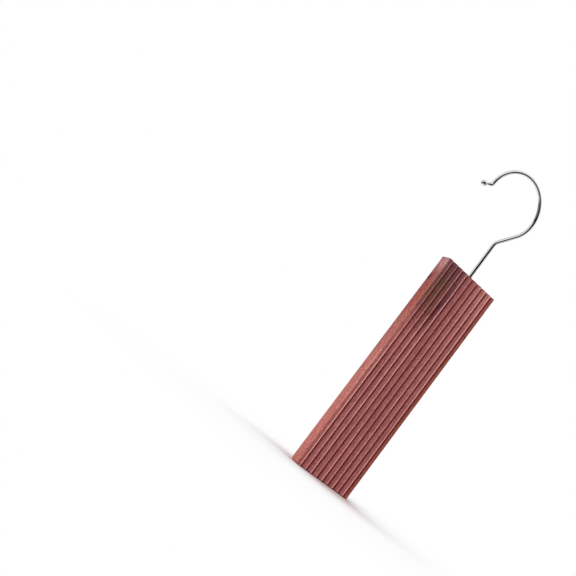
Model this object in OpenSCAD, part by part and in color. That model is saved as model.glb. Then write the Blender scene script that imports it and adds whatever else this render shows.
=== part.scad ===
// Cedar hanger block: a fluted plank of red cedar that hangs from a rail by a swivelling wire hook.
// Origin: where a rail bears on the inside of the hook's crown. +Z is up, +X runs across the block
// and -Y is the front face.

/* [Cedar block] */
// Width of the block across the grain
block_w = 57; // [56:0.5:70]
// Length of the block along the grain
block_l = 203; // [120:1:260]
// Thickness of the block before it is fluted
block_t = 12.7; // [11:0.1:20]
// Bevel that breaks the four long edges
arris = 0.3; // [0.1:0.1:0.5]

/* [Flutes] */
// Number of slots in each broad face
slot_count = 9; // [3:1:9]
// Distance from one slot to the next
pitch = 6.05; // [5:0.05:6.1]
// Depth of a slot below the ridge beside it
slot_depth = 3; // [1.5:0.1:3.2]
// Width of a slot at its floor
slot_floor_w = 0.9; // [0.5:0.1:1]
// Width of a slot at its mouth
slot_mouth_w = 1.5; // [1.1:0.1:2]
// Depth of the shallow scoop between two slots
scoop_depth = 0.6; // [0.2:0.1:1]
// Distance from a slot's upright wall to the lowest line of the scoop
scoop_low = 2.4; // [2:0.1:3]

/* [Hook] */
// Diameter of the wire
wire_d = 3; // [2.5:0.1:3.4]
// Radius of the crown, at the middle of the wire
crown_r = 27; // [25:0.5:32]
// Height of the crown's centre above the block
crown_height = 70; // [64:1:80]
// Distance from the crown's centre across to the shank
shank_offset = 8.3; // [3:0.1:10]
// Lean of the sloping run between the shank and the crown
slope_angle = 38; // [32:1:44]
// Radius of the bend at the top of the shank
bend_r = 8; // [5:0.5:12]
// Where the crown ends, as an angle round its centre from the shank's side
crown_end = 180; // [165:1:190]
// How far the tip turns out of the crown's curve
kink_angle = 57; // [40:1:70]
// Radius of the bend at the tip
kink_r = 3; // [2.5:0.5:4]
// Diameter of the ball on the tip
ball_d = 5; // [4.6:0.1:6]

/* [Swivel] */
// Depth of the shank in the block
shank_in = 30; // [24:1:40]
// Depth of the brad below the top of the block
brad_drop = 12; // [8:1:16]
// Diameter of the brad that holds the shank
brad_d = 1.2; // [1:0.1:1.3]
// Diameter of the brad's head
brad_head_d = 1.9; // [1.6:0.1:2]
// Radial clearance of the shank in its bore
swivel_gap = 0.06; // [0.03:0.01:0.1]

/* [Hidden] */
$fn = 96;

cedar_colour = [0.66, 0.37, 0.33];
chrome_colour = [0.82, 0.83, 0.85];
brad_colour = [0.55, 0.55, 0.54];
past = 1; // how far a cutter runs past the face that it cuts

// Block
crown_x = 0;
crown_z = wire_d / 2 - crown_r;
block_x = crown_x + shank_offset;
block_top = crown_z - crown_height;
first_slot_x = -(slot_count - 1) / 2 * pitch - (slot_floor_w + slot_mouth_w) / 4;
crest_w = 0.08; // sliver of the plank's own face left at the top of each ridge
scoop_rise = pitch - crest_w - scoop_low; // from the lowest line of the scoop to the crest
scoop_r = (scoop_rise ^ 2 + scoop_depth ^ 2) / (2 * scoop_depth);

// Wire path, from the foot of the shank to the ball
bend_tangent = bend_r * tan(slope_angle / 2);
kink_tangent = kink_r * tan(kink_angle / 2);
crown_start_dx = crown_r * cos(slope_angle) - shank_offset;
corner_height = crown_height - crown_r * sin(slope_angle) - crown_start_dx / tan(slope_angle);
shank_run = corner_height - bend_tangent;
slope_run = crown_start_dx / sin(slope_angle) - bend_tangent;
crown_sweep = slope_angle + crown_end - atan(kink_tangent / crown_r);
bend_d = wire_d - 0.02;
bend_lap = 0.15;
tip_run = 0.4; // straight wire between the crown and the kink

// Swaged neck and ball
neck_d = 2;
neck_straight = 1.2;
neck_taper = 1.5;
neck_l = 4.1; // from the end of the kink to the ball's surface
spigot_l = 2;
ball_in = sqrt((ball_d / 2) ^ 2 - (neck_d / 2) ^ 2);

// Swivel
bore_d = wire_d + 2 * swivel_gap;
bore_depth = shank_in + 1.5;
mouth_d = 4.6; // countersink round the wire
mouth_depth = (mouth_d - bore_d) / 2;
foot_bevel = 0.5;
ring_core_d = 2;
ring_w = brad_d + 0.3;
brad_x = ring_core_d / 2 + 0.05 + brad_d / 2;
brad_head_t = 0.5;
brad_face_y = block_t / 2 - 0.35; // outer face of the head, just under the wood
brad_tip_l = 1;
brad_l = brad_face_y + 2.8;

// Shallow hollow of one pitch; it starts at a slot's upright wall and climbs to the next crest
module scoop_2d() {
    intersection() {
        translate([scoop_low, scoop_depth - scoop_r]) circle(r = scoop_r, $fn = 240);
        translate([0, -past]) square([pitch, past + scoop_depth]);
    }
}

// One slot: an upright wall beside the ridge, a flat floor and a leaning wall
module slot_2d() {
    polygon([
        [0, -past],
        [0, slot_depth],
        [slot_floor_w, slot_depth],
        [slot_mouth_w, scoop_depth / 2],
        [slot_mouth_w, -past]
    ]);
}

// Everything that the cutters take out of the face at the bottom of the section
module face_cuts_2d() {
    for (i = [-1 : slot_count - 1])
        translate([first_slot_x + i * pitch, -block_t / 2]) {
            scoop_2d();
            if (i >= 0) slot_2d();
        }
}

module plank_2d() {
    x = block_w / 2;
    y = block_t / 2;
    polygon([
        [-x + arris, -y], [x - arris, -y], [x, -y + arris], [x, y - arris],
        [x - arris, y], [-x + arris, y], [-x, y - arris], [-x, -y + arris]
    ]);
}

// Section of the block: both faces pass the same knives, so the back is the front turned round
module block_section() {
    difference() {
        plank_2d();
        face_cuts_2d();
        rotate(180) face_cuts_2d();
    }
}

// Blind bore for the shank, with its countersunk mouth; z = 0 is the top of the block
module shank_bore() {
    translate([0, 0, -bore_depth]) cylinder(h = bore_depth + past, d = bore_d);
    translate([0, 0, -mouth_depth])
        cylinder(h = mouth_depth + past, d1 = bore_d, d2 = mouth_d + 2 * past);
}

// Places its children on the brad's axis, pointing into the block from the back
module at_brad() {
    translate([brad_x, brad_face_y, -brad_drop]) rotate([90, 0, 0]) children();
}

// Hole that the brad makes, with the dent that its head sinks into
module brad_hole() {
    at_brad() {
        cylinder(h = brad_l, d = brad_d);
        translate([0, 0, -past]) cylinder(h = past + brad_head_t, d = brad_head_d);
    }
}

module cedar_block() {
    color(cedar_colour)
        translate([block_x, 0, block_top])
            difference() {
                translate([0, 0, -block_l]) linear_extrude(height = block_l) block_section();
                shank_bore();
                brad_hole();
            }
}

// A straight run of wire leads up +Z, and its children start where it ends
module run(length, d = wire_d) {
    cylinder(h = length, d = d);
    translate([0, 0, length]) children();
}

// Places its children at the end of a bend: a positive angle turns towards +X
module after_bend(radius, angle) {
    translate([sign(angle) * radius * (1 - cos(angle)), 0, radius * sin(abs(angle))])
        rotate([0, angle, 0]) children();
}

// A bend of wire leads off up +Z, and its children start where it ends. It laps into the straight runs
// at both ends, and is a hair thinner than they are, as wire is where it was bent.
module bend(radius, angle) {
    lap_angle = bend_lap / radius * 180 / PI;
    translate([sign(angle) * radius, 0, 0])
        rotate([90, 0, 0]) rotate([0, 0, (angle > 0 ? 180 - angle : 0) - lap_angle])
            rotate_extrude(angle = abs(angle) + 2 * lap_angle)
                translate([radius, 0]) circle(d = bend_d);
    after_bend(radius, angle) children();
}

// Places its children where the tip's kink ends, with +Z along the neck
module at_neck() {
    translate([crown_x, 0, crown_z]) rotate([0, slope_angle - crown_sweep, 0])
        translate([crown_r, 0, tip_run]) after_bend(kink_r, kink_angle) children();
}

// Foot of the shank with the ring groove that the brad runs in
module shank_foot() {
    below = shank_in - brad_drop - ring_w / 2;
    above = brad_drop - ring_w / 2;
    translate([0, 0, -shank_in]) {
        cylinder(h = foot_bevel, d1 = wire_d - 2 * foot_bevel, d2 = wire_d);
        translate([0, 0, foot_bevel]) run(below - foot_bevel) run(ring_w, ring_core_d) run(above);
    }
}

module neck() {
    run(neck_straight) {
        cylinder(h = neck_taper, d1 = wire_d, d2 = neck_d);
        translate([0, 0, neck_taper])
            cylinder(h = neck_l - neck_straight - neck_taper + spigot_l, d = neck_d);
    }
}

module wire_hook() {
    color(chrome_colour)
        translate([block_x, 0, block_top]) {
            shank_foot();
            run(shank_run) bend(bend_r, slope_angle) run(slope_run)
                bend(crown_r, -crown_sweep) run(tip_run) bend(kink_r, kink_angle) neck();
        }
}

// Ball pressed on the neck's spigot
module ball_tip() {
    color(chrome_colour)
        at_neck() translate([0, 0, neck_l])
            difference() {
                translate([0, 0, ball_in]) sphere(d = ball_d);
                translate([0, 0, -past]) cylinder(h = past + spigot_l, d = neck_d);
            }
}

module retaining_brad() {
    color(brad_colour)
        translate([block_x, 0, block_top]) at_brad() {
            cylinder(h = brad_head_t, d = brad_head_d);
            cylinder(h = brad_l - brad_tip_l, d = brad_d);
            translate([0, 0, brad_l - brad_tip_l]) cylinder(h = brad_tip_l, d1 = brad_d, d2 = 0.2);
        }
}

cedar_block();
wire_hook();
ball_tip();
retaining_brad();
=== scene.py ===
from math import asin, cos, pi, radians, sin, sqrt, tan

import bmesh
import bpy
from mathutils import Euler, Matrix, Vector, noise
from mathutils.geometry import tessellate_polygon


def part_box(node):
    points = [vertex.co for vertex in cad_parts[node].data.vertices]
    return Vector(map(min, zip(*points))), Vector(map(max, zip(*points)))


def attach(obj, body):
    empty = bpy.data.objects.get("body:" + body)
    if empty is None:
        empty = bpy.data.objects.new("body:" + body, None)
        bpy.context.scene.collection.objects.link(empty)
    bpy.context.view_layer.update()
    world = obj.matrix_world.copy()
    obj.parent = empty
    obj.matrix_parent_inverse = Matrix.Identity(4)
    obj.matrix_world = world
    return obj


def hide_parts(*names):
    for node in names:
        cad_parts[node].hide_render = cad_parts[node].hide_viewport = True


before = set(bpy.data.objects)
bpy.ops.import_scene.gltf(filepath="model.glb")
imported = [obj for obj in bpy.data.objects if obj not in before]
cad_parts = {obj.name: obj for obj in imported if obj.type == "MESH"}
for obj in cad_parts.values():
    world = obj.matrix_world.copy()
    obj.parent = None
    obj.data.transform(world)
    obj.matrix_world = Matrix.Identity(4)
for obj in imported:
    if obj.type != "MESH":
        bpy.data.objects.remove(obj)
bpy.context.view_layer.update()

# ---------------------------------------------------------------------------------------------
# Cedar plank. One length of aromatic red cedar, moulded on both broad faces by the same knives:
# upright-walled slots with a shallow scoop between them. The ends are sawn square and the top end
# is bored and countersunk for the hook. The wood is left bare, so that its scent gets out.
# ---------------------------------------------------------------------------------------------
MM = 0.001
low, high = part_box("cedar_block")
plank_w = (high[0] - low[0]) / MM
plank_t = (high[1] - low[1]) / MM
plank_l = (high[2] - low[2]) / MM
plank_x = (low[0] + high[0]) / 2
plank_top = high[2]

# Section of the moulded faces; the sizes of all four pieces are in mm
pitch = 6.05
slot_count = 9
first_slot = -24.8  # upright wall of the first slot, from the plank's middle
scoop_depth = 0.6
scoop_low = 2.4  # lowest line of a scoop, from the upright wall beside it
ridge_w = 0.08
scoop_rise = pitch - ridge_w - scoop_low
scoop_r = (scoop_rise ** 2 + scoop_depth ** 2) / (2 * scoop_depth)
# One slot as (across from its upright wall, depth, crest); crest is 1 on a ridge, 0 off it
slot_section = (
    (0.00, 0.10, 0.8), (0.01, 0.6, 0.2), (0.01, 1.6, 0), (0.02, 2.70, 0), (0.12, 2.93, 0),
    (0.45, 3.0, 0), (0.78, 2.94, 0), (0.92, 2.75, 0), (1.14, 1.8, 0), (1.35, 0.86, 0),
    (1.46, 0.62, 0),
)
# One scoop as (across, crest), then the ridge's top, short of the next wall and a hair down
scoop_section = (
    (1.75, 0), (2.4, 0), (3.1, 0), (3.8, 0), (4.5, 0), (5.1, 0), (5.55, 0), (5.82, 0.35),
)
ridge_short, ridge_down = 0.06, 0.03
corner, corner_middle = 0.35, 0.1  # how far a worn long edge reaches, and its middle point lies in
edge_rows = 7  # strips of the mesh across a narrow edge

# Wear and saw cuts
waviness = 0.035  # the faces wander by this much to either side
tear, fuzz, blunting = 0.16, 0.03, 0.02  # how far the ridges are torn, frayed and blunted
saw_break = 0.12  # broken edge round both ends
knock = 2.6  # the bottom corner at the left of the back has been knocked round
knock_from, knock_over = 20, 6  # where that begins across the plank, and how fast it grows
row_step = 1.3  # length of wood between two rings of the mesh

# Holes for the shank, with its countersunk mouth, and for the brad and its head
bore_r, bore_depth, mouth_r = 1.56, 31.5, 2.3
past = 0.6  # how far a cutter runs past the wood
brad_r, brad_head_r, brad_slack = 0.6, 0.95, 0.02


def scoop_at(across):
    return scoop_depth - scoop_r + sqrt(scoop_r ** 2 - (across - scoop_low) ** 2)


def moulded_face():
    """Points across one broad face as (across, depth, crest)."""
    points = []
    for cell in range(-1, slot_count):
        wall = first_slot + cell * pitch
        if cell >= 0:
            points += [(wall + across, depth, crest) for across, depth, crest in slot_section]
        points += [(wall + across, scoop_at(across), crest) for across, crest in scoop_section]
        points.append((wall + pitch - ridge_short, ridge_down, 1))
    edge = plank_w / 2 - corner
    return [point for point in points if -edge < point[0] < edge]


def plank_outline():
    """The plank's section as (x, y, crest), front face first and back face turned round."""
    half_w, half_t = plank_w / 2, plank_t / 2
    last_slot = first_slot + (slot_count - 1) * pitch
    left, right = scoop_at(-half_w - (first_slot - pitch)), scoop_at(half_w - last_slot)
    front = [
        (-half_w, -half_t + left + corner, 0),
        (-half_w + corner_middle, -half_t + left + corner_middle, 0.5),
    ]
    front += [(x, -half_t + depth, crest) for x, depth, crest in moulded_face()]
    front += [
        (half_w - corner_middle, -half_t + right + corner_middle, 0.5),
        (half_w, -half_t + right + corner, 0),
    ]
    rise = plank_t - left - right - 2 * corner
    front += [
        (half_w, -half_t + right + corner + rise * k / edge_rows, 0) for k in range(1, edge_rows)
    ]
    return front + [(-x, -y, crest) for x, y, crest in front]


def bare_wood(outline, level, broken):
    """One ring of the plank: knives tear the ridges here and there, and the faces wander."""
    ring = []
    count = len(outline)
    for number, (x, y, crest) in enumerate(outline):
        before, after = outline[number - 1], outline[(number + 1) % count]
        out = Vector((after[1] - before[1], before[0] - after[0])).normalized()
        face = 1 if y > 0 else -1
        wander = noise.noise(Vector((x * 0.35, y * 0.35, level * 0.045)))
        torn = noise.noise(Vector((x * 1.7 + face * 31, level * 0.19, 4.2)))
        frayed = noise.noise(Vector((x * 2.9 - face * 17, level * 0.75, 8.8)))
        lift = waviness * wander - waviness
        lift -= crest * (tear * max(0.0, torn - 0.3) + fuzz * max(0.0, frayed) + blunting)
        lift -= broken * (1 - crest)
        below = max(0.0, 1 - level / knock)
        knocked = knock * (1 - sqrt(1 - below ** 2))
        knocked *= min(1.0, max(0.0, (-x - knock_from) / knock_over))
        knocked *= (max(0.0, y) * 2 / plank_t) ** 2
        ring.append(Vector((x + out.x * lift, y + out.y * lift - knocked, level)))
    return ring


def drill(piece, cutter):
    cut = piece.modifiers.new("cut", "BOOLEAN")
    cut.operation = "DIFFERENCE"
    cut.solver = "FAST"
    cut.object = cutter
    graph = bpy.context.evaluated_depsgraph_get()
    made = bpy.data.meshes.new_from_object(piece.evaluated_get(graph))
    piece.modifiers.clear()
    piece.data = made
    bpy.data.objects.remove(cutter)


def new_piece(name, mesh, smooth_angle=None):
    """An object from a bmesh in metres; faces that meet below smooth_angle are shaded as one."""
    data = bpy.data.meshes.new(name)
    bmesh.ops.recalc_face_normals(mesh, faces=mesh.faces)
    mesh.normal_update()
    if smooth_angle is not None:
        for edge in mesh.edges:
            sharp = len(edge.link_faces) != 2 or edge.calc_face_angle(pi) > radians(smooth_angle)
            edge.smooth = not sharp
        for face in mesh.faces:
            face.smooth = True
    mesh.to_mesh(data)
    mesh.free()
    piece = bpy.data.objects.new(name, data)
    bpy.context.scene.collection.objects.link(piece)
    return piece


def lathe(mesh, stations, place, sides):
    """Turns (radius, height) stations in mm round local +Z into mesh, then puts them at place."""
    turns = [2 * pi * k / sides for k in range(sides)]
    rings = []
    for radius, height in stations:
        if radius < 1e-6:
            rings.append([mesh.verts.new(place @ Vector((0, 0, height * MM)))])
            continue
        around = [Vector((radius * cos(a) * MM, radius * sin(a) * MM, height * MM)) for a in turns]
        rings.append([mesh.verts.new(place @ point) for point in around])
    for one, two in zip(rings, rings[1:]):
        for k in range(sides):
            j = (k + 1) % sides
            if len(one) == 1:
                mesh.faces.new((one[0], two[j], two[k]))
            elif len(two) == 1:
                mesh.faces.new((one[k], one[j], two[0]))
            else:
                mesh.faces.new((one[k], one[j], two[j], two[k]))


outline = plank_outline()
levels = [0.0, saw_break, 0.4, 0.85]  # closer together where the corner is knocked round
steps = round((plank_l - 2 * saw_break) / row_step)
levels += [saw_break + (plank_l - 2 * saw_break) * k / steps for k in range(1, steps + 1)]
levels += [plank_l]
wood = bmesh.new()
rings = []
for level in levels:
    broken = saw_break if level in (0.0, plank_l) else 0
    rings.append([
        wood.verts.new((plank_x + p.x * MM, p.y * MM, plank_top + (p.z - plank_l) * MM))
        for p in bare_wood(outline, level, broken)
    ])
for one, two in zip(rings, rings[1:]):
    for k in range(len(outline)):
        j = (k + 1) % len(outline)
        wood.faces.new((one[k], one[j], two[j], two[k]))
for ring in (rings[0], rings[-1]):
    for corners in tessellate_polygon([[vert.co for vert in ring]]):
        wood.faces.new([ring[number] for number in corners]).material_index = 1
cedar_plank = new_piece("cedar_plank", wood, 32)

brad_low, brad_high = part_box("retaining_brad")
brad_place = Matrix.Translation((
    (brad_low[0] + brad_high[0]) / 2, brad_high[1], (brad_low[2] + brad_high[2]) / 2,
)) @ Euler((pi / 2, 0, 0)).to_matrix().to_4x4()
holes = bmesh.new()
bore = [
    (0, -bore_depth), (bore_r, -bore_depth), (bore_r, bore_r - mouth_r), (mouth_r + past, past),
    (0, past),
]
lathe(holes, bore, Matrix.Translation((plank_x, 0, plank_top)), 48)
head_hole_r, nail_hole_r = brad_head_r + brad_slack, brad_r + brad_slack
brad_hole = [
    (0, -1.0), (head_hole_r, -1.0), (head_hole_r, 0.5), (nail_hole_r, 0.6), (nail_hole_r, 2.0),
    (0, 2.2),
]
lathe(holes, brad_hole, brad_place, 24)
for face in holes.faces:
    face.material_index = 1
plank_holes = new_piece("plank_holes", holes)


class Value:
    """A shader socket that Python's own operators work on; each one adds its Math node."""

    def __init__(self, look, socket):
        self.look, self.socket = look, socket

    def math(self, operation, *terms, clamp=False):
        """A Math node on the terms, or on this value alone where none are given."""
        settings = {"operation": operation, "use_clamp": clamp}
        return self.look.node("ShaderNodeMath", settings, *(terms or (self,)))

    def __add__(self, other):
        return self.math("ADD", self, other)

    def __sub__(self, other):
        return self.math("SUBTRACT", self, other)

    def __rsub__(self, other):
        return self.math("SUBTRACT", other, self)

    def __mul__(self, other):
        return self.math("MULTIPLY", self, other)

    def __truediv__(self, other):
        return self.math("DIVIDE", self, other)

    def __rtruediv__(self, other):
        return self.math("DIVIDE", other, self)

    def __pow__(self, other):
        return self.math("POWER", self, other)

    def __rpow__(self, other):
        return self.math("POWER", other, self)

    def __abs__(self):
        return self.math("ABSOLUTE")

    __radd__ = __add__
    __rmul__ = __mul__

    def clamp(self):
        return self.math("ADD", self, 0, clamp=True)

    def rise(self, start, end):
        """0 at start and 1 at end, straight between; start may be the larger."""
        return self.math("DIVIDE", self - start, end - start, clamp=True)

    def sibling(self, output):
        """Another output of the same node."""
        return Value(self.look, self.socket.node.outputs[output])

    def axes(self):
        """The x, y and z of a vector."""
        parts = self.look.node("ShaderNodeSeparateXYZ", {}, self)
        return [parts.sibling(k) for k in range(3)]


class Look:
    """A node tree and the calls that fill it."""

    def __init__(self, owner):
        owner.use_nodes = True
        self.owner, self.tree = owner, owner.node_tree
        self.tree.nodes.clear()

    def node(self, kind, settings, *inputs, output=0, **named):
        """Adds a node: its type, its settings, then its sockets in order or by name."""
        made = self.tree.nodes.new(kind)
        for name, setting in settings.items():
            setattr(made, name, setting)
        given = list(enumerate(inputs))
        given += [(name.replace("_", " "), value) for name, value in named.items()]
        for key, value in given:
            if isinstance(value, Value):
                self.tree.links.new(value.socket, made.inputs[key])
            elif value is not None:
                made.inputs[key].default_value = value
        return Value(self, made.outputs[output]) if made.outputs else None

    def vector(self, operation, *inputs, output=0):
        return self.node("ShaderNodeVectorMath", {"operation": operation}, *inputs, output=output)

    def mix(self, factor, one, two, blend="MIX"):
        """Mixes two colours, each a link or its red, green and blue."""
        settings = {"data_type": "RGBA", "blend_type": blend, "clamp_factor": True}
        pair = [colour if isinstance(colour, Value) else (*colour, 1) for colour in (one, two)]
        # The colours are the Mix node's seventh and eighth sockets, after the plain and vector ones
        return self.node("ShaderNodeMix", settings, factor, *[None] * 5, *pair, output=2)

    def grain(self, place, stretch, detail, roughness=0.5, offset=(0, 0, 0), curl=0.0):
        """Noise over place after its axes are stretched, 0 to 1; curl bends it off the axes."""
        pulled = self.vector("MULTIPLY_ADD", place, stretch, offset)
        return self.node(
            "ShaderNodeTexNoise", {}, Vector=pulled, Scale=1.0, Detail=detail,
            Roughness=roughness, Distortion=curl,
        )

    def spot(self, x, z, centre, size, lean=0.0):
        """1 in the middle of a long soft patch on a face, 0 outside it; sizes and places in mm."""
        across = (x - centre[0] - (z - centre[1]) * lean) / size[0]
        along = (z - centre[1]) / size[1]
        return (1 - (across * across + along * along) ** 0.5).clamp()

    def finish(self, shader):
        """Ends the tree in the output node of its material or world."""
        kind = "World" if isinstance(self.owner, bpy.types.World) else "Material"
        self.node("ShaderNodeOutput" + kind, {}, Surface=shader)


def cedar(name, end_grain=False):
    """Aromatic red cedar: rose heartwood with fine growth lines, streaks and a dark stain."""
    look = Look(bpy.data.materials.new(name))
    body = look.node("ShaderNodeTexCoord", {}, output=3)
    to_mm = (1 / MM, 1 / MM, 1 / MM)
    place = look.vector("MULTIPLY_ADD", body, to_mm, (-plank_x / MM, 0, -plank_top / MM))
    x, y, z = place.axes()
    depth = plank_t / 2 - abs(y)
    on_edge = abs(x).rise(plank_w / 2 - 0.25, plank_w / 2 - 0.1)
    on_face = 1 - on_edge
    front = y.rise(1.5, -1.5) * on_face
    left_edge = x.rise(1, -1) * on_edge
    turned = x * (0 - y).math("SIGN")
    across = ((turned - first_slot) / pitch).math("FRACT") * pitch

    # Growth rings round a pith well behind the plank, wandering along the length
    pith_x, pith_y, ring_width = 14, 46, 2.3
    wander = look.grain(place, (0.05, 0.05, 0.009), detail=2)
    ring_x = x - pith_x + z * 0.02 + (wander - 0.5) * 16
    ring_y = y - pith_y
    ring = ((ring_x * ring_x + ring_y * ring_y) ** 0.5 / ring_width).math("FRACT")
    late = (ring * 1.15) ** 5 * ((1 - ring) * 9).clamp()

    # Grain at several scales, all long in the length of the plank
    fibre = look.grain(place, (2.4, 2.4, 0.06), detail=4, roughness=0.6)
    fleck = look.grain(
        place, (0.95, 0.95, 0.36), detail=3, roughness=0.65, offset=(0, 5, 0), curl=1.3)
    streak = look.grain(
        place, (0.42, 0.42, 0.011), detail=2, roughness=0.55, offset=(3.1, 0.7, 0))
    tint = look.grain(place, (0.16, 0.16, 0.006), detail=1, offset=(0, 7.7, 2.2))
    ragged = look.grain(place, (0.55, 0.55, 0.05), detail=3)

    rose, purple, tan_wood = (0.385, 0.124, 0.118), (0.315, 0.094, 0.110), (0.42, 0.158, 0.112)
    edge_rose, late_wood = (0.385, 0.132, 0.106), (0.24, 0.06, 0.055)
    colour = look.mix(streak.rise(0.5, 0.88), rose, purple)
    colour = look.mix(tint.rise(0.54, 0.79) * 0.6, colour, tan_wood)
    colour = look.mix(on_edge * 0.75, colour, edge_rose)
    colour = look.mix(late.clamp() * 0.28, colour, late_wood)

    # Heart stain that fades down from the top of the front's left half, with a leaning dark line
    stain_low, stain_top = (0.20, 0.068, 0.062), (0.155, 0.066, 0.082)
    olive_brown, line_purple, knot_brown = (
        (0.115, 0.062, 0.034), (0.085, 0.027, 0.052), (0.06, 0.014, 0.024))
    heart = z.rise(-70, -42) * x.rise(0, -12) * front * (ragged + 0.55).clamp()
    olive = look.spot(x, z, (-21, -23), (10, 27)) * front
    line = look.spot(x, z, (-9.8, -38), (2.1, 32), 0.035) * front
    smoke = look.mix(z.rise(-34, -8), stain_low, stain_top)
    colour = look.mix(heart * 0.92, colour, smoke)
    colour = look.mix((olive * 3.4 * (ragged - 0.12)).clamp() * 0.75, colour, olive_brown)
    colour = look.mix((line * 3.2 * ragged).clamp() * 0.8, colour, line_purple)
    for centre, size in (((-12.2, -43), (3.0, 5.0)), ((-10.5, -36), (1.6, 3.6))):
        pin_knot = look.spot(x, z, centre, size, 0.1) * front
        colour = look.mix((pin_knot * 3 * (ragged + 0.2)).clamp() * 0.85, colour, knot_brown)

    # Paler, warmer wood at the top right; rusty right margin with a tan line in it; a dull left one
    pale_wood, rust, tan_line, left_land = (
        (0.60, 0.235, 0.20), (0.27, 0.058, 0.037), (0.44, 0.165, 0.095), (0.36, 0.092, 0.078))
    pale = z.rise(-48, -6) * x.rise(-2, 22) * front
    in_line = (1 - abs(x - 26.2) / 0.9).clamp() * front * ragged
    colour = look.mix(pale * 0.55, colour, pale_wood)
    colour = look.mix(x.rise(23.2, 24.6) * front * 0.74, colour, rust)
    colour = look.mix(in_line * 0.7, colour, tan_line)
    colour = look.mix(x.rise(-25, -27) * front * (1 - heart) * 0.35, colour, left_land)

    # Left edge: painted shade darkens it towards the top, and more so towards its back a little
    # below the top.
    # It is rusty towards the top, pink at its very top, paler along the front lower down, with
    # purple wood along its back and a small knot
    painted_top_shade, rusty_wood, back_shade_brown, pink_top = (
        (0.20, 0.058, 0.052), (0.37, 0.088, 0.048), (0.12, 0.03, 0.025), (0.40, 0.205, 0.20))
    pale_strip, back_purple, edge_knot = (
        (0.56, 0.24, 0.21), (0.19, 0.062, 0.078), (0.075, 0.018, 0.024))
    knot = look.spot(y, z, (4.4, -20.5), (3.1, 3.6)) * left_edge
    sapless = (y + (ragged - 0.5) * 5).rise(0.5, 4.5) * z.rise(-132, -50) * left_edge
    rusty = look.spot(y, z, (0.5, -37), (6.5, 27)) * left_edge
    back_shade = z.rise(-58, -44) * z.rise(-8, -17) * y.rise(-6, 1) * left_edge
    pink = z.rise(-17, -6) * y.rise(-10, -4) * left_edge
    strip = z.rise(-82, -96) * z.rise(-150, -115) * y.rise(-1, -4.5) * left_edge
    # Painted shade on the left edge: darker towards the top, and towards its back a little below
    # the top
    colour = look.mix(z.rise(-100, -25) * left_edge * 0.6, colour, painted_top_shade)
    colour = look.mix((rusty * 1.8 * (ragged + 0.3)).clamp() * 0.7, colour, rusty_wood)
    colour = look.mix(back_shade * 0.32, colour, back_shade_brown)
    colour = look.mix(pink * 0.68, colour, pink_top)
    colour = look.mix(strip * 0.35, colour, pale_strip)
    colour = look.mix(sapless * 0.55, colour, back_purple)
    colour = look.mix((knot * 2.2 * (ragged + 0.3)).clamp() * 0.9, colour, edge_knot)

    # Fine fibres and flecks, and cutter marks: knives on the faces, a slanting saw on the edges
    knife_step, saw_step = 1.9, 1.8
    jitter = look.grain(place, (0.12, 0.12, 0.5), detail=1)
    knife_at = (z + jitter * 1.5 + x * 0.3) * (2 * pi / knife_step)
    saw_at = (z + y * 0.22 + jitter * 2.2) * (2 * pi / saw_step)
    knife = knife_at.math("SINE") * on_face
    saw = saw_at.math("SINE") * on_edge
    shade = 1 + (fibre - 0.5) * 0.95 + (fleck - 0.5) * 2.3 + knife * 0.07 + saw * 0.11
    grey = look.node("ShaderNodeCombineColor", {}, shade, shade, shade)
    colour = look.mix(1.0, colour, grey, "MULTIPLY")

    # Painted shade darkens the slots, in a deep red like light bounced between their walls, and a
    # painted shadow lies beside each slot; each crest is a painted highlight line, brighter on some
    # ridges than on others
    cast_shadow_brown, slot_shade_red, crest_highlight_pink, end_brown = (
        (0.15, 0.014, 0.012), (0.50, 0.045, 0.036), (0.71, 0.35, 0.33), (0.10, 0.03, 0.027))
    in_slot = depth.rise(0.7, 1.5) * on_face
    cast_shadow = (1 - abs(across - 1.2) / 1.5).clamp() * on_face
    crest = across.rise(4.95, 5.6) * depth.rise(0.5, 0.3) * on_face
    frayed = look.grain(place, (0.165, 0.3, 0.006), detail=1).rise(0.36, 0.62) * 1.7 + 0.3
    at_end = z.rise(-1.1, -0.3) + z.rise(1.1 - plank_l, 0.3 - plank_l)
    # Painted shadow beside each slot, then painted shade in the slots
    colour = look.mix(cast_shadow * 0.88, colour, cast_shadow_brown)
    colour = look.mix(in_slot * 0.92, colour, slot_shade_red)
    # Painted highlight along each crest
    colour = look.mix(crest * frayed * (fleck + 0.18) * (1 - heart * 0.45), colour, crest_highlight_pink)
    colour = look.mix(at_end * 0.6, colour, end_brown)
    height = (fibre - 0.5) * 0.9 + (fleck - 0.5) * 0.4 + knife * 0.12 + saw * 0.22 - late * 0.25

    # Sawn end grain: open pores in bands, and the rings cut across
    if end_grain:
        band_dark, band_pale = (0.36, 0.135, 0.115), (0.46, 0.20, 0.165)
        ring_brown, pore_brown = (0.24, 0.07, 0.058), (0.22, 0.075, 0.062)
        pores = look.grain(place, (7, 7, 0.02), detail=3)
        band = look.grain(place, (0.9, 0.14, 0.1), detail=2)
        colour = look.mix(band.rise(0.4, 0.75), band_dark, band_pale)
        colour = look.mix(late.clamp() * 0.6, colour, ring_brown)
        colour = look.mix(pores.rise(0.52, 0.72) * 0.45, colour, pore_brown)
        height = (pores - 0.5) * 1.4 + (band - 0.5) * 0.5 - late * 0.4
    bump = look.node("ShaderNodeBump", {}, Strength=0.55, Distance=0.00016, Height=height)
    rough = 0.62 + (fibre - 0.5) * 0.2 + in_slot * 0.1
    look.finish(look.node(
        "ShaderNodeBsdfPrincipled", {}, Base_Color=colour, Roughness=rough, Normal=bump,
        Specular_IOR_Level=0.14,
    ))
    return look.owner


moulded_cedar = cedar("Cedar, moulded faces and edges")
sawn_cedar = cedar("Cedar, sawn ends", end_grain=True)
for piece in (cedar_plank, plank_holes):
    piece.data.materials.append(moulded_cedar)
    piece.data.materials.append(sawn_cedar)
drill(cedar_plank, plank_holes)
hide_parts("cedar_block")
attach(cedar_plank, "block")

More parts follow.
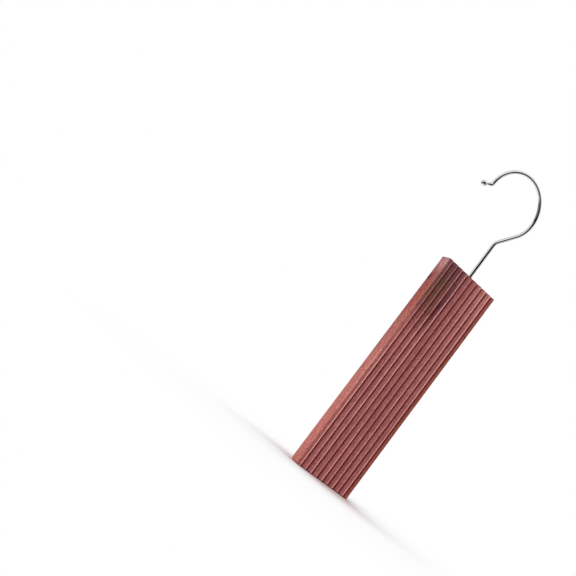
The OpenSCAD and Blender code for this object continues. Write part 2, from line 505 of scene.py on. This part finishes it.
# ---------------------------------------------------------------------------------------------
# Retaining brad. A thin steel brad driven in from the back: it runs past the shank in the ring
# groove, so that the hook turns but doesn't pull out. Its small head is sunk just under the wood.
# ---------------------------------------------------------------------------------------------
# Domed head, straight nail and long point, as (radius, depth from the head's outer face)
brad_stations = [
    (0, 0.04), (0.5, 0.05), (0.82, 0.09), (0.93, 0.2), (brad_head_r, 0.34), (0.9, 0.48),
    (brad_r, 0.62), (brad_r, 7.6), (0.34, 8.2), (0.06, 8.75), (0, 8.78),
]


def drawn_steel(name, colour, roughness, scratches):
    look = Look(bpy.data.materials.new(name))
    body = look.node("ShaderNodeTexCoord", {}, output=3)
    blotch = look.grain(body, (900, 900, 900), detail=2)
    fine = look.grain(body, (5200, 5200, 5200), detail=2)
    shade = look.mix(blotch, tuple(0.8 * c for c in colour), colour)
    bump = look.node("ShaderNodeBump", {}, Strength=scratches, Distance=0.00002, Height=fine)
    look.finish(look.node(
        "ShaderNodeBsdfPrincipled", {}, Base_Color=shade, Metallic=1.0,
        Roughness=roughness + (blotch - 0.5) * 0.12, Normal=bump,
    ))
    return look.owner


brad = bmesh.new()
lathe(brad, brad_stations, brad_place, 24)
steel_brad = new_piece("steel_brad", brad, 40)
steel_brad.data.materials.append(drawn_steel("Steel, brad", (0.5, 0.49, 0.47), 0.38, 0.4))
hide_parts("retaining_brad")
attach(steel_brad, "block")

# ---------------------------------------------------------------------------------------------
# Wire hook. One length of 3 mm steel wire, bent cold round formers and chrome plated. The crown is
# most of a circle, the sloping run brings it back over the plank's middle, and the tip is kinked
# outwards and swaged down to a neck that takes the ball.
# ---------------------------------------------------------------------------------------------
wire_r = 1.485
wire_sides = 40
crown_r = 27.0
shank_x = plank_x / MM
crown_z = wire_r - crown_r
slope = radians(38)
bend_r = 8.0
kink = radians(57)
kink_r = 3.0
tip_run = 0.4  # straight wire between the crown and the kink
corner_z = crown_z - crown_r * sin(slope) - (crown_r * cos(slope) - shank_x) / tan(slope)
bend_start = corner_z - bend_r * tan(slope / 2)
shank_foot = plank_top / MM - 30.0
foot_r, foot_bevel = 1.0, 0.5
groove_at = plank_top / MM - 12.0  # middle of the ring groove
groove_core_r, groove_half = 1.0, 0.75
shoulder = groove_half + 0.01
neck_r = 1.0
# Swaged neck as (distance from the end of the kink, radius); its last part is inside the ball
neck_stations = (
    (0.6, 1.48), (1.2, 1.46), (1.6, 1.36), (2.1, 1.16), (2.7, neck_r), (3.4, neck_r),
    (4.1, neck_r), (5.4, neck_r),
)
ball_along = 6.39  # ball's middle from the end of the kink
bend_steps, slope_steps, crown_steps, kink_steps = 14, 12, 120, 12


def wire_path():
    """The wire's middle line as (x, z, radius), the neck's heading, and the ball's middle."""
    path = [
        (shank_x, shank_foot, 0.0), (shank_x, shank_foot, foot_r),
        (shank_x, shank_foot + foot_bevel, wire_r),
        (shank_x, groove_at - shoulder, wire_r), (shank_x, groove_at - groove_half, groove_core_r),
        (shank_x, groove_at + groove_half, groove_core_r), (shank_x, groove_at + shoulder, wire_r),
    ]
    rise = bend_start - groove_at - shoulder
    for k in range(1, bend_steps + 1):
        path.append((shank_x, groove_at + shoulder + rise * k / bend_steps, wire_r))
    for k in range(1, bend_steps + 1):
        a = slope * k / bend_steps
        path.append((shank_x + bend_r - bend_r * cos(a), bend_start + bend_r * sin(a), wire_r))
    start = (path[-1][0], path[-1][1])
    end = (crown_r * cos(slope), crown_z - crown_r * sin(slope))
    for k in range(1, slope_steps):
        part = k / slope_steps
        path.append((
            start[0] + (end[0] - start[0]) * part, start[1] + (end[1] - start[1]) * part, wire_r,
        ))
    last = pi - kink_r * tan(kink / 2) / crown_r
    for k in range(crown_steps + 1):
        a = -slope + (last + slope) * k / crown_steps
        path.append((crown_r * cos(a), crown_z + crown_r * sin(a), wire_r))
    heading = last + pi / 2
    x, z, _ = path[-1]
    x, z = x + tip_run * cos(heading), z + tip_run * sin(heading)
    turn_x, turn_z = x + kink_r * cos(heading - pi / 2), z + kink_r * sin(heading - pi / 2)
    for k in range(kink_steps + 1):
        a = heading + pi / 2 - kink * k / kink_steps
        path.append((turn_x + kink_r * cos(a), turn_z + kink_r * sin(a), wire_r))
    heading -= kink
    x, z, _ = path[-1]
    for along, radius in neck_stations:
        path.append((x + along * cos(heading), z + along * sin(heading), radius))
    return path, heading, (x + ball_along * cos(heading), z + ball_along * sin(heading))


path, neck_heading, ball_at = wire_path()
wire = bmesh.new()
wire_rings = []
wire_turns = [2 * pi * k / wire_sides for k in range(wire_sides)]
for number, (x, z, radius) in enumerate(path):
    before = path[max(number - 1, 0)]
    after = path[min(number + 1, len(path) - 1)]
    ahead = Vector((after[0] - before[0], 0, after[1] - before[1]))
    ahead = ahead.normalized() if ahead.length > 1e-6 else Vector((0, 0, 1))
    side = Vector((ahead.z, 0, -ahead.x))
    middle = Vector((x, 0, z))
    wire_rings.append([
        wire.verts.new((middle + (side * cos(a) + Vector((0, 1, 0)) * sin(a)) * radius) * MM)
        for a in wire_turns
    ])
for one, two in zip(wire_rings, wire_rings[1:]):
    for k in range(wire_sides):
        j = (k + 1) % wire_sides
        wire.faces.new((one[k], two[k], two[j], one[j]))
wire.faces.new(wire_rings[-1])
bmesh.ops.remove_doubles(wire, verts=wire_rings[0], dist=1e-7)
chrome_hook = new_piece("chrome_hook", wire, 40)


def chrome(name):
    """Bright chrome plate with faint handling haze."""
    look = Look(bpy.data.materials.new(name))
    body = look.node("ShaderNodeTexCoord", {}, output=3)
    haze = look.grain(body, (160, 160, 160), detail=3)
    fine = look.grain(body, (2600, 2600, 2600), detail=2)
    tone = look.mix(haze, (0.80, 0.81, 0.83), (0.90, 0.905, 0.915))
    bump = look.node("ShaderNodeBump", {}, Strength=0.06, Distance=0.00002, Height=fine)
    look.finish(look.node(
        "ShaderNodeBsdfPrincipled", {}, Base_Color=tone, Metallic=1.0,
        Roughness=0.05 + haze * 0.07, Normal=bump,
    ))
    return look.owner


bright_chrome = chrome("Chrome, hook")
chrome_hook.data.materials.append(bright_chrome)
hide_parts("wire_hook")
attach(chrome_hook, "hook")

# ---------------------------------------------------------------------------------------------
# Ball tip. A 5 mm chromed steel ball, drilled blind and pressed on the neck, so that the end of
# the wire doesn't snag cloth. A fine rolled lip shows where the neck goes in.
# ---------------------------------------------------------------------------------------------
ball_r = 2.5
ball_rows = 32
opening = asin(neck_r / ball_r)
lip = -cos(opening) * ball_r
stations = [(0.98, lip + 0.25), (1.02, lip + 0.04)]
for k in range(1, ball_rows + 1):
    a = opening + (pi - opening) * k / ball_rows
    stations.append((ball_r * sin(a) if k < ball_rows else 0, -ball_r * cos(a)))
ball_place = Matrix.Translation((ball_at[0] * MM, 0, ball_at[1] * MM))
ball_place = ball_place @ Euler((0, pi / 2 - neck_heading, 0)).to_matrix().to_4x4()
ball = bmesh.new()
lathe(ball, stations, ball_place, 48)
chrome_ball = new_piece("chrome_ball", ball, 50)
chrome_ball.data.materials.append(bright_chrome)
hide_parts("ball_tip")
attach(chrome_ball, "hook")

# ---------------------------------------------------------------------------------------------
# Studio. The block stands on a plain white table in a white surround, under one broad soft lamp
# high on the left; round its foot the table shows soft shade, partly painted into its colour. The
# chrome also shows a dark doorway behind the camera, and dark flags beyond the block and at the far
# left.
# Sizes are in metres.
# ---------------------------------------------------------------------------------------------
table_r = 4.0
table_z = low[2] - 0.0003
glow_reach = 0.25  # how far the lamp's own light tells on the table
shade_reach = 0.095  # how far the block shades it
table_white, shaded_white = (0.82, 0.82, 0.82), (0.62, 0.46, 0.465)


def rays(look):
    """1 for a camera ray, a glossy ray and a transmission ray, each 0 for any other."""
    light_path = look.node("ShaderNodeLightPath", {})
    return [light_path.sibling(f"Is {kind} Ray") for kind in ("Camera", "Glossy", "Transmission")]


table = bmesh.new()
bmesh.ops.create_circle(
    table, cap_ends=True, segments=96, radius=table_r, matrix=Matrix.Translation((0, 0, table_z)))
table_top = new_piece("table_top", table)
white = Look(bpy.data.materials.new("Table, white"))
by_camera, by_gloss, by_glass = rays(white)
by_metal = by_gloss + by_glass
spot = white.vector(
    "SUBTRACT", white.node("ShaderNodeTexCoord", {}, output=3), (plank_x, -0.03, table_z))
spot_x, spot_y, _ = spot.axes()
from_spot = white.vector("MULTIPLY", spot, (1 / glow_reach, 1 / glow_reach, 0))
near = 1 - white.vector("LENGTH", from_spot, output=1)
open_sky = white.node(
    "ShaderNodeAmbientOcclusion", {"samples": 16}, Distance=shade_reach, output=1)
contact = ((1 - open_sky) * 3.6).clamp()
share = by_camera * (1 - near.clamp() * 0.14) * (1 - contact * 0.9) + by_metal * 0.9
dim_front = spot_y.rise(-0.08, -0.26)
dim_left = spot_x.rise(-0.12, -0.24)
dim = (1 - dim_front * 0.97) * (1 - dim_left * 0.8)
# Round the foot the table's own colour turns pink grey: painted shade with the cedar's bounce, over
# the lamp's real shadow
paint_colour = white.mix(contact, table_white, shaded_white)
paint = white.node("ShaderNodeBsdfDiffuse", {}, Color=paint_colour)
glow = white.node(
    "ShaderNodeEmission", {}, Color=(1, 1, 1, 1), Strength=by_camera + by_metal * dim)
white.finish(white.node("ShaderNodeMixShader", {}, share, paint, glow))
table_top.data.materials.append(white.owner)

surround = Look(bpy.data.worlds.new("Studio"))
bpy.context.scene.world = surround.owner
camera_ray, glossy_ray, clear_ray = rays(surround)
side, away, up = surround.node("ShaderNodeTexCoord", {}, output=0).axes()
reach = ((side + 0.1) / 0.97) ** 2 + ((up + 0.02) / 0.8) ** 2
doorway = reach.rise(1.0, 0.8) * away.rise(0, -0.12)
far_flag = (side * 0.4 + away * 0.91 + up * 0.09).rise(0.2, 0.5)
left_flag = side.rise(-0.75, -0.93) * (1.6 - abs(up) / 0.12).clamp()
room = (1 - doorway * 0.985) * (1 - far_flag * 0.78) * (1 - left_flag * 0.85)
plain = 0.35  # what lights the object, from every side alike
strength = plain * (1 - camera_ray) * (1 - glossy_ray) * (1 - clear_ray)
strength = strength + camera_ray + (glossy_ray * room + clear_ray) * (1 - camera_ray)
surround.finish(surround.node("ShaderNodeBackground", {}, (1, 1, 1, 1), strength))

lamp = bpy.data.lights.new("soft_lamp", "SUN")
lamp.energy = 3.2
lamp.angle = radians(40)
soft_lamp = bpy.data.objects.new("soft_lamp", lamp)
soft_lamp.rotation_euler = Vector((-0.83, -0.25, 0.50)).to_track_quat("Z", "Y").to_euler()
soft_lamp.visible_glossy = False
bpy.context.scene.collection.objects.link(soft_lamp)

lens = bpy.data.cameras.new("camera")
lens.lens = 54.98
lens.sensor_width = 36
camera = bpy.data.objects.new("camera", lens)
camera.location = (-0.37715, -0.60401, -0.25936)
camera.rotation_euler = (radians(96.796), radians(-37.434), radians(-27.667))
bpy.context.scene.collection.objects.link(camera)
bpy.context.scene.camera = camera
bpy.context.scene.view_settings.view_transform = "Standard"
